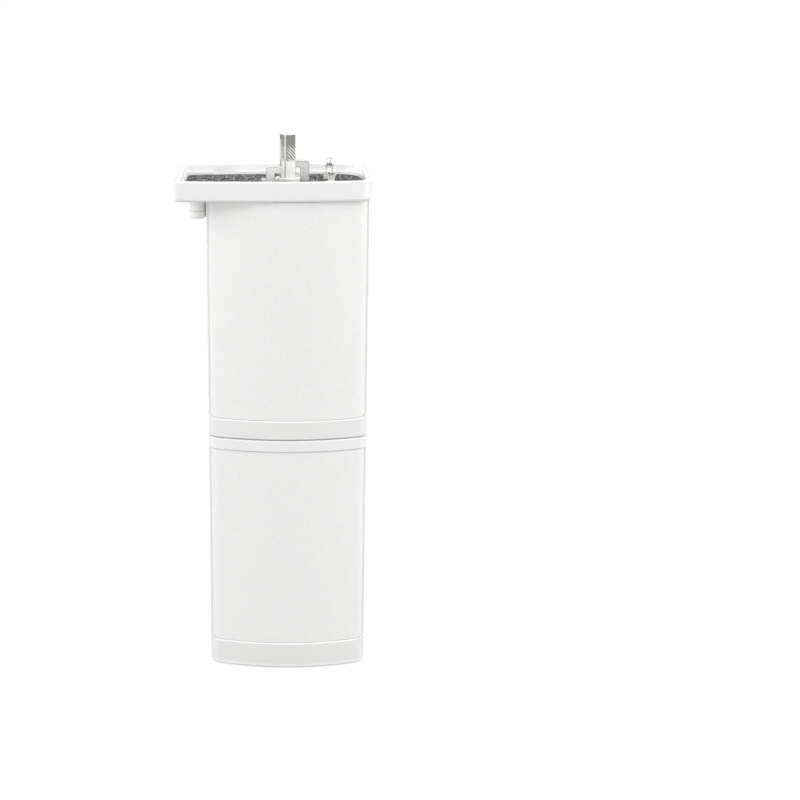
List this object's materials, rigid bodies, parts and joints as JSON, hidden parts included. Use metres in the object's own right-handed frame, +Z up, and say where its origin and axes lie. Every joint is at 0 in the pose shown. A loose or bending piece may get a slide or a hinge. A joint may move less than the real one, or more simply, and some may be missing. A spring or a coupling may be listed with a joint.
{
  "type": "curtain motor",
  "caption": "Upright curtain-rail drive motor with a hooked head, a square drive shaft and a battery pack below.",
  "frame": {"origin": "on the output shaft's axis, in the plane of the base", "axes": "+Z up along the output shaft, towards the rail; -Y is the front; the head overhangs towards -X"},
  "size_m": [0.0768, 0.056, 0.2189],
  "materials": {
    "white_shell": "fine satin moulded white",
    "white_panel": "satin white sheet",
    "foam": "closed-cell foam with light specks",
    "die_cast": "tumbled die casting",
    "bright_steel": "turned and plated",
    "steel": "drawn, zinc plated",
    "screw_steel": "blackened",
    "nylon": "natural nylon",
    "gear_plastic": "acetal",
    "case_plastic": "glass-filled moulding",
    "bronze": "sintered",
    "brass": "stamped and plated",
    "copper": "enamelled wire",
    "magnet": "sintered ferrite",
    "lamination": "stacked sheet",
    "rubber": "moulded rubber",
    "board": "lacquered laminate",
    "chips": "moulded packages",
    "cell_wrap": "shrink sleeve",
    "nickel": "plated strip",
    "lens": "milky light pipe",
    "button_white": "satin key"
  },
  "bodies": {
    "housing": {"head_housing": "white_shell", "head_gasket": "foam", "catch_plate": "die_cast", "locating_pins": "bright_steel", "plunger_guide": "bright_steel", "plunger_spring": "steel", "shaft_collar": "nylon", "output_bearing": "bronze", "gearbox_cover": "case_plastic", "ring_gear": "case_plastic", "gearbox_base_plate": "die_cast", "gearbox_bolts": "steel", "tray_screws": "screw_steel", "motor_can": "steel", "motor_bushes": "bronze", "motor_magnets": "magnet", "brush_terminals": "brass", "motor_end_cap": "case_plastic", "damper_rings": "rubber", "upper_housing": "white_shell", "upper_front_panel": "white_panel", "upper_rear_panel": "white_panel", "end_frame": "case_plastic", "encoder_board": "board", "contact_block": "case_plastic", "contact_pins": "brass", "seam_seal": "rubber", "pack_lid": "white_shell", "lower_housing": "white_shell", "lower_front_panel": "white_panel", "lower_rear_panel": "white_panel", "battery_cells": "cell_wrap", "cell_strips": "nickel", "cell_holder_base": "case_plastic", "cell_holder_top": "case_plastic", "main_board": "board", "board_parts": "chips", "base_plate": "white_shell", "charge_board": "board", "charge_port": "steel", "status_lens": "lens", "pack_bolts": "screw_steel"},
    "output": {"output_shaft": "steel", "stage_two_carrier": "steel"},
    "stage_one": {"stage_one_carrier": "gear_plastic"},
    "rotor": {"rotor_shaft": "steel", "pinion": "brass", "armature_core": "lamination", "armature_windings": "copper", "commutator": "copper", "encoder_magnet": "magnet"},
    "plunger": {"plunger_knob": "white_shell", "plunger_pin": "bright_steel"},
    "button": {"setting_button": "button_white"},
    "planet_one_a": {"planet_one_a": "gear_plastic"},
    "planet_two_a": {"planet_two_a": "steel"},
    "planet_one_b": {"planet_one_b": "gear_plastic"},
    "planet_two_b": {"planet_two_b": "steel"},
    "planet_one_c": {"planet_one_c": "gear_plastic"},
    "planet_two_c": {"planet_two_c": "steel"}
  },
  "joints": [
    {"name": "rotor_spin", "type": "hinge", "parent": "housing", "child": "rotor", "pos_m": [0, 0, 0.14], "axis": [0, 0, 1], "continuous": true},
    {"name": "stage_one_spin", "type": "hinge", "parent": "housing", "child": "stage_one", "pos_m": [0, 0, 0.174], "axis": [0, 0, 1], "continuous": true},
    {"name": "output_spin", "type": "hinge", "parent": "housing", "child": "output", "pos_m": [0, 0, 0.19], "axis": [0, 0, 1], "continuous": true},
    {"name": "planet_one_a_spin", "type": "hinge", "parent": "stage_one", "child": "planet_one_a", "pos_m": [0.0108, 0, 0.169], "axis": [0, 0, 1], "continuous": true},
    {"name": "planet_two_a_spin", "type": "hinge", "parent": "output", "child": "planet_two_a", "pos_m": [0.0108, 0, 0.1795], "axis": [0, 0, 1], "continuous": true},
    {"name": "planet_one_b_spin", "type": "hinge", "parent": "stage_one", "child": "planet_one_b", "pos_m": [-0.0054, 0.00935, 0.169], "axis": [0, 0, 1], "continuous": true},
    {"name": "planet_two_b_spin", "type": "hinge", "parent": "output", "child": "planet_two_b", "pos_m": [-0.0054, 0.00935, 0.1795], "axis": [0, 0, 1], "continuous": true},
    {"name": "planet_one_c_spin", "type": "hinge", "parent": "stage_one", "child": "planet_one_c", "pos_m": [-0.0054, -0.00935, 0.169], "axis": [0, 0, 1], "continuous": true},
    {"name": "planet_two_c_spin", "type": "hinge", "parent": "output", "child": "planet_two_c", "pos_m": [-0.0054, -0.00935, 0.1795], "axis": [0, 0, 1], "continuous": true},
    {"name": "plunger_pull", "type": "slide", "parent": "housing", "child": "plunger", "axis": [0, 0, -1], "range_m": [0, 0.003], "stiffness_N_per_m": 300, "deforming": ["plunger_spring"]},
    {"name": "button_press", "type": "slide", "parent": "housing", "child": "button", "axis": [0, 0, 1], "range_m": [0, 0.0008], "stiffness_N_per_m": 300}
  ],
  "couplings": [
    {"joint": "stage_one_spin", "follows": "rotor_spin", "ratio": 0.16667},
    {"joint": "output_spin", "follows": "rotor_spin", "ratio": 0.027778},
    {"joint": "planet_one_a_spin", "follows": "rotor_spin", "ratio": -0.41667},
    {"joint": "planet_two_a_spin", "follows": "rotor_spin", "ratio": -0.069444},
    {"joint": "planet_one_b_spin", "follows": "rotor_spin", "ratio": -0.41667},
    {"joint": "planet_two_b_spin", "follows": "rotor_spin", "ratio": -0.069444},
    {"joint": "planet_one_c_spin", "follows": "rotor_spin", "ratio": -0.41667},
    {"joint": "planet_two_c_spin", "follows": "rotor_spin", "ratio": -0.069444}
  ]
}
